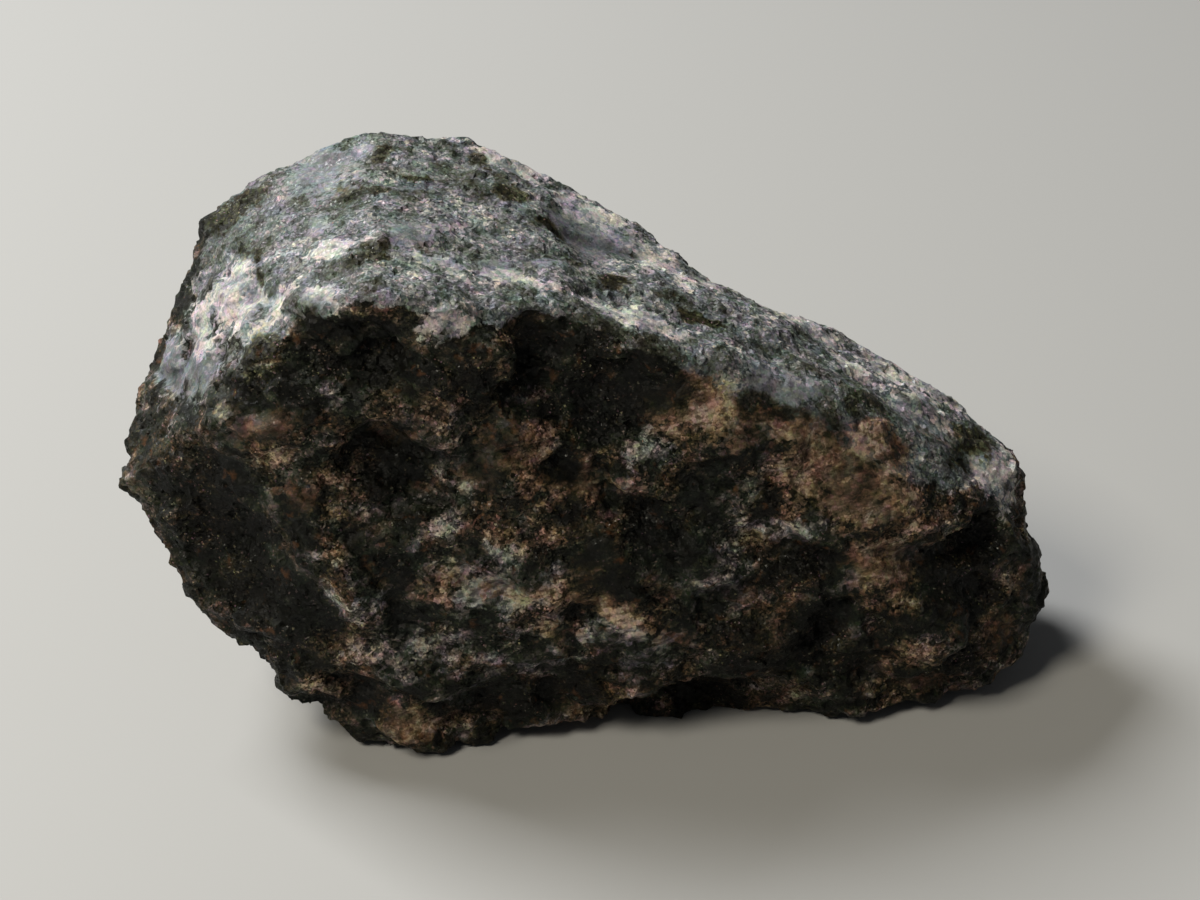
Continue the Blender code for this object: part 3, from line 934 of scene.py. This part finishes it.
# %% Noises
NOISES = {
    "slow": {"lumps": 0.32, "detail": 1.0},
    "clouds": {"lumps": 0.70, "detail": 3.0, "roughness": 0.55},
    "fibres": {"lumps": 4.2, "detail": 3.0, "roughness": 0.6},
    "crumbs": {"lumps": 7.0},
    "rust": {"lumps": 0.85, "detail": 3.0, "roughness": 0.6},
    "hues": {"lumps": 0.8, "detail": 3.0},
}
slow = add_noise(tree, place, **NOISES["slow"])["Fac"]
clouds = add_noise(tree, lath_place, **NOISES["clouds"])["Fac"]
fibres = add_noise(tree, fibre_place, **NOISES["fibres"])["Fac"]
crumbs = add_noise(tree, streak_place, **NOISES["crumbs"])["Fac"]
rust = add_noise(tree, ragged, **NOISES["rust"])["Fac"]
hues = add_noise(tree, place, **NOISES["hues"])["Color"]
print("noises:", ", ".join(NOISES))

# %% [markdown]
# ## Ragged borders
# The shares that the mesh holds fade too evenly. A mixture of clouds and grains is
# added to them before a ramp cuts them off, so each border runs along the grains.
# Tan, pale and brown crystals have grown into their neighbours, and their ramp is
# wider. The top, which is bleached and also painted lighter for the light it faces,
# ends in the same way, and tan and brown crystals, which are never bleached, are cut
# out of it.

# %% Ragged borders
WANDER_MIX = ((clouds, 0.7), (laths["Pick"], 0.30), (grains["Pick"], 0.22))
NARROW_EDGE = 0.18
WIDE_EDGE = 0.36
WIDE_EDGED = ("tan", "pale", "brown")
TOP_WANDER = 0.6
TOP_BORDER = {"low": 0.50, "high": 0.66}

shares = {kind: read_value(tree, kind) for kind in REGIONS}
wander = mixture(tree, WANDER_MIX)
for kind, share in shares.items():
    edge = WIDE_EDGE if kind in WIDE_EDGED else NARROW_EDGE
    shares[kind] = ramp(tree, pushed(tree, share, wander, 1.0), HALF - edge, HALF + edge)
top = ramp(tree, pushed(tree, read_value(tree, "top"), wander, TOP_WANDER), **TOP_BORDER)
top = calculate(tree, "SUBTRACT", top, largest(tree, shares["tan"], shares["brown"]))
# The whiteness holds the white crystals and the top; its top part carries painted light.
whiteness_and_top_light = largest(tree, top, shares["milky"], shares["blue"])
print("ragged borders for the top and", len(shares), "kinds of region")

# %% [markdown]
# ## How grainy each spot is
# Large smooth crystals hold back the finest grains, which is why they look clear next
# to the sugary nests. On the rest of the front the grain comes and goes slowly, and
# the pale top and the white crystals are grainy all over.

# %% Graininess
SMOOTHNESS = {"milky": 0.8, "tan": 1.0, "blue": 0.9, "brown": 0.8}
GRAIN_ON_SMOOTH = 0.45
SUGARY_PLACES = {"low": 0.40, "high": 0.58, "start": 0.5, "end": 1.1}


def with_shares(tree, value, weights):
    """Adds the share of each kind of region, by weight, to a value."""
    for kind, weight in weights.items():
        value = calculate(tree, "MULTIPLY_ADD", shares[kind], weight, value)
    return value


graininess = ramp(tree, with_shares(tree, 0.0, SMOOTHNESS), start=1.0, end=GRAIN_ON_SMOOTH)
sugary = largest(tree, ramp(tree, slow, **SUGARY_PLACES), whiteness_and_top_light)
graininess = multiplied(tree, graininess, sugary)
print("smooth kinds:", ", ".join(SMOOTHNESS))

# %% [markdown]
# ## How pale each spot is
# The paleness is put together as the rock is: broad clouds and crystals first, then
# fine grains where the spot is grainy, then the fibres of large crystals, and last a
# push for every crystal and nest that is known by its place. Each pattern only moves
# the paleness up and down around its middle, so their weights can be changed without
# making the whole stone paler or darker.

# %% Paleness of the mixture
BROAD_MIX = ((slow, 0.80), (clouds, 1.60), (crystals["Pick"], 0.26), (laths["Pick"], 0.18))
FINE_MIX = ((grains["Pick"], 0.26), (sugar["Pick"], 0.24))
MEAN_PALENESS = 0.455
BROAD_WHERE_CALM = 0.58  # the top, tan and brown crystals are more even than the rest
FINE_ON_TOP = 0.78

calm_places = largest(tree, top, shares["tan"], shares["brown"])
broad_strength = ramp(tree, calm_places, start=1.0, end=BROAD_WHERE_CALM)
broad = mixture(tree, BROAD_MIX, middle=0.0)
paleness = calculate(tree, "MULTIPLY_ADD", broad, broad_strength, MEAN_PALENESS)
fine_strength = ramp(tree, top, start=1.0, end=FINE_ON_TOP)
fine = multiplied(tree, mixture(tree, FINE_MIX, middle=0.0), fine_strength)
paleness = calculate(tree, "MULTIPLY_ADD", fine, graininess, paleness)
print("paleness around", MEAN_PALENESS)

# %% Fibres, nests and known crystals
FIBRES_ON_FRONT = 0.40
FIBRES_ON_TOP = 0.10
FIBRES_IN_TAN = 0.35
GRAINS_IN_OLIVE = 0.46
PALER_BY_KIND = {
    # milky regions along the rims also carry painted light
    "milky": 0.32,
    "blue": 0.08,
    "pale": 0.20,
    "tan": 0.30,
    "brown": 0.15,
    # dark regions are darker partly as painted shade in the recesses
    "dark": -0.34,
    "olive": -0.43,
}
# The top is made a little paler still: painted light.
PALER_LIT_TOP = 0.06

fibre_strength = ramp(tree, top, start=FIBRES_ON_FRONT, end=FIBRES_ON_TOP)
fibre_strength = with_shares(tree, fibre_strength, {"tan": FIBRES_IN_TAN})
paleness = pushed(tree, paleness, fibres, fibre_strength)
nest_strength = multiplied(tree, shares["olive"], GRAINS_IN_OLIVE)
paleness = pushed(tree, paleness, grains["Shade"], nest_strength)
paleness = with_shares(tree, paleness, PALER_BY_KIND)
paleness = calculate(tree, "MULTIPLY_ADD", top, PALER_LIT_TOP, paleness)
print("paler or darker by", PALER_BY_KIND)

# %% [markdown]
# ## Colours of the top and the front
# The paleness runs through all three ramps of tints. A slow pattern of stain chooses
# between the clean and the stained ramp on the front, and the whiteness chooses
# between the front, with its painted shade, and the top, with its painted light. The
# result is then tinted a little by broad hues and by the random colour of every grain,
# because no two grains of feldspar are alike.

# %% Top and front colours
BLUE_TINT = (0.25, 0.268, 0.300, 1.0)
BLUE_STRENGTH = 0.35
STAIN_MIX = ((slow, 1.6), (crystals["Shade"], 0.5), (laths["Shade"], 0.3))
STAIN_BY_KIND = {"tan": 0.42, "brown": 0.45, "pale": -0.50}
STAIN_BORDER = {"low": 0.2, "high": 0.8}

blue_share = multiplied(tree, shares["blue"], BLUE_STRENGTH)
lit_and_bleached_top_colour = mix_colours(tree, blue_share, tints(tree, paleness, LIT_AND_BLEACHED_TOP_TINTS), BLUE_TINT)
stain = with_shares(tree, mixture(tree, STAIN_MIX), STAIN_BY_KIND)
stain = ramp(tree, stain, **STAIN_BORDER)
shaded_clean_colour = tints(tree, paleness, SHADED_CLEAN_FRONT_TINTS)
shaded_stained_colour = tints(tree, paleness, SHADED_STAINED_FRONT_TINTS)
shaded_front_colour = mix_colours(tree, stain, shaded_clean_colour, shaded_stained_colour)
# The top colours carry painted light and the front colours painted shade.
stone_colour = mix_colours(tree, whiteness_and_top_light, shaded_front_colour, lit_and_bleached_top_colour)
print("tints:", len(LIT_AND_BLEACHED_TOP_TINTS), "on the top,", len(SHADED_CLEAN_FRONT_TINTS) + len(SHADED_STAINED_FRONT_TINTS), "on the front")

# %% Hues that vary
HUES_ON_FRONT = 0.72
HUES_ON_WHITE = 0.45
GRAIN_HUES = 0.20
OLIVE_TINT = (0.62, 0.58, 0.34, 1.0)

hue_strength = ramp(tree, whiteness_and_top_light, start=HUES_ON_FRONT, end=HUES_ON_WHITE)
stone_colour = tinted(tree, stone_colour, around_white(tree, hues, hue_strength))
stone_colour = tinted(tree, stone_colour, around_white(tree, grains["Tint"], GRAIN_HUES))
stone_colour = tinted(tree, stone_colour, OLIVE_TINT, share=shares["olive"])
print("hues vary by", HUES_ON_FRONT, "on the front and", HUES_ON_WHITE, "on white")

# %% [markdown]
# ## Sugar, rust and specks
# Where the rock is grainy, each of the finest grains is lighter or darker than its
# neighbour, as in a heap of sugar. Iron has left rusty spots, mostly on the front. A
# few of the finest grains are much brighter than the rest: partly pale grains, partly
# painted glints. They keep to cloudy, crumbly places, because specks that are spread
# evenly look like noise in a picture.

# %% Sugar and rust
SUGAR_LIGHT = {"start": 0.60, "end": 1.55}
RUST_TINT = (0.17, 0.070, 0.026, 1.0)
RUST_SPOTS = {"low": 0.60, "high": 0.76, "end": 0.45}
RUST_ON_WHITE = 0.35

sugar_light = ramp(tree, sugar["Shade"], **SUGAR_LIGHT)
sugar_light = mix_colours(tree, graininess, WHITE, sugar_light)
stone_colour = tinted(tree, stone_colour, sugar_light)
rust_strength = ramp(tree, whiteness_and_top_light, start=1.0, end=RUST_ON_WHITE)
rust_share = multiplied(tree, ramp(tree, rust, **RUST_SPOTS), rust_strength)
stone_colour = mix_colours(tree, rust_share, stone_colour, RUST_TINT)
print("rust covers at most", RUST_SPOTS["end"], "of a spot")

# %% Bright specks and painted glints
SPECK_AND_GLINT_TINT = (0.26, 0.26, 0.21, 1.0)
SPECK_HUES = 0.7
SPECK_PICK = {"low": 0.86, "high": 0.96}
SPECK_CLOUDS = {"low": 0.40, "high": 0.60, "end": 0.75}
SPECK_CRUMBS = {"low": 0.48, "high": 0.60}

speck_and_glint_share = multiplied(
    tree,
    ramp(tree, sugar["Pick"], **SPECK_PICK),
    graininess,
    ramp(tree, clouds, **SPECK_CLOUDS),
    ramp(tree, crumbs, **SPECK_CRUMBS),
)
# These bright specks are partly pale grains and partly painted glints.
speck_and_glint_colour = tinted(tree, SPECK_AND_GLINT_TINT, around_white(tree, sugar["Tint"], SPECK_HUES))
stone_colour = mix_colours(tree, speck_and_glint_share, stone_colour, speck_and_glint_colour)
print("one grain in", round(1.0 / (1.0 - SPECK_PICK["low"])), "may be a speck")

# %% [markdown]
# ## Worn edges with painted highlights, and hollows with painted shade
# Edges rub against other things and turn lighter, and they are made lighter still as a
# painted highlight where the lamps catch them. Hollows are darkened as painted shade.
# The Pointiness of the Geometry node finds the small edges, and the hollow value that
# the mesh keeps finds the larger pits. On the pale top light edges are hard to see, so
# they gain less there.

# %% Worn edges with painted highlights, hollows with painted shade
WORN_AND_HIGHLIGHTED_EDGES = {"low": 0.52, "high": 0.64, "start": 1.0}
EDGE_WEAR_AND_HIGHLIGHT_ON_FRONT = 1.5
EDGE_WEAR_AND_HIGHLIGHT_ON_TOP = 1.15
PAINTED_HOLLOW_SHADE = {"low": 0.1, "high": 0.9, "start": 1.0, "end": 0.55}

pointed = add_node(tree, "ShaderNodeNewGeometry").outputs["Pointiness"]
edge_wear_and_highlight = ramp(tree, top, start=EDGE_WEAR_AND_HIGHLIGHT_ON_FRONT, end=EDGE_WEAR_AND_HIGHLIGHT_ON_TOP)
# Edges are lightened for wear and as a painted highlight.
stone_colour = tinted(tree, stone_colour, ramp(tree, pointed, end=edge_wear_and_highlight, **WORN_AND_HIGHLIGHTED_EDGES))
# Hollows are darkened as painted shade.
stone_colour = tinted(tree, stone_colour, ramp(tree, read_value(tree, "hollow"), **PAINTED_HOLLOW_SHADE))
feed(tree, shader.inputs["Base Color"], stone_colour)
print("hollows keep", PAINTED_HOLLOW_SHADE["end"], "of their light")

# %% [markdown]
# ## Gloss and fine relief
# Broken rock is dull as a whole, but a few grains lie with a flat face towards the
# light and glint. Every grain has its own facet in the Bump node too, finer than the
# mesh can hold. The worn top has half of it.

# %% Gloss
GLINTS = {"low": 0.80, "high": 0.97, "start": 0.60, "end": 0.28}
SPECULAR_LEVEL = 0.22

feed(tree, shader.inputs["Roughness"], ramp(tree, sugar["Shade"], **GLINTS))
shader.inputs["Specular IOR Level"].default_value = SPECULAR_LEVEL
print("roughness", GLINTS["start"], "with glints of", GLINTS["end"])

# %% Fine relief
GRAIN_RELIEF = 0.9
SUGAR_RELIEF = 0.8
FINE_RELIEF_ON_TOP = 0.5
BUMP_STRENGTH = 0.9

height = multiplied(tree, grains["Facet"], GRAIN_RELIEF)
height = calculate(tree, "MULTIPLY_ADD", sugar["Facet"], SUGAR_RELIEF, height)
height_strength = ramp(tree, top, start=1.0, end=FINE_RELIEF_ON_TOP)
height = multiplied(tree, height, graininess, height_strength)
bump = add_node(tree, "ShaderNodeBump", {"Strength": BUMP_STRENGTH, "Distance": MM, "Height": height})
feed(tree, shader.inputs["Normal"], bump.outputs["Normal"])
stone.data.materials.append(material)
print("gabbro finish:", len(tree.nodes), "nodes")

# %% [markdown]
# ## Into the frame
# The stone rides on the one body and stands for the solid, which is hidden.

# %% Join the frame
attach(stone, "root")
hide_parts("gabbro")
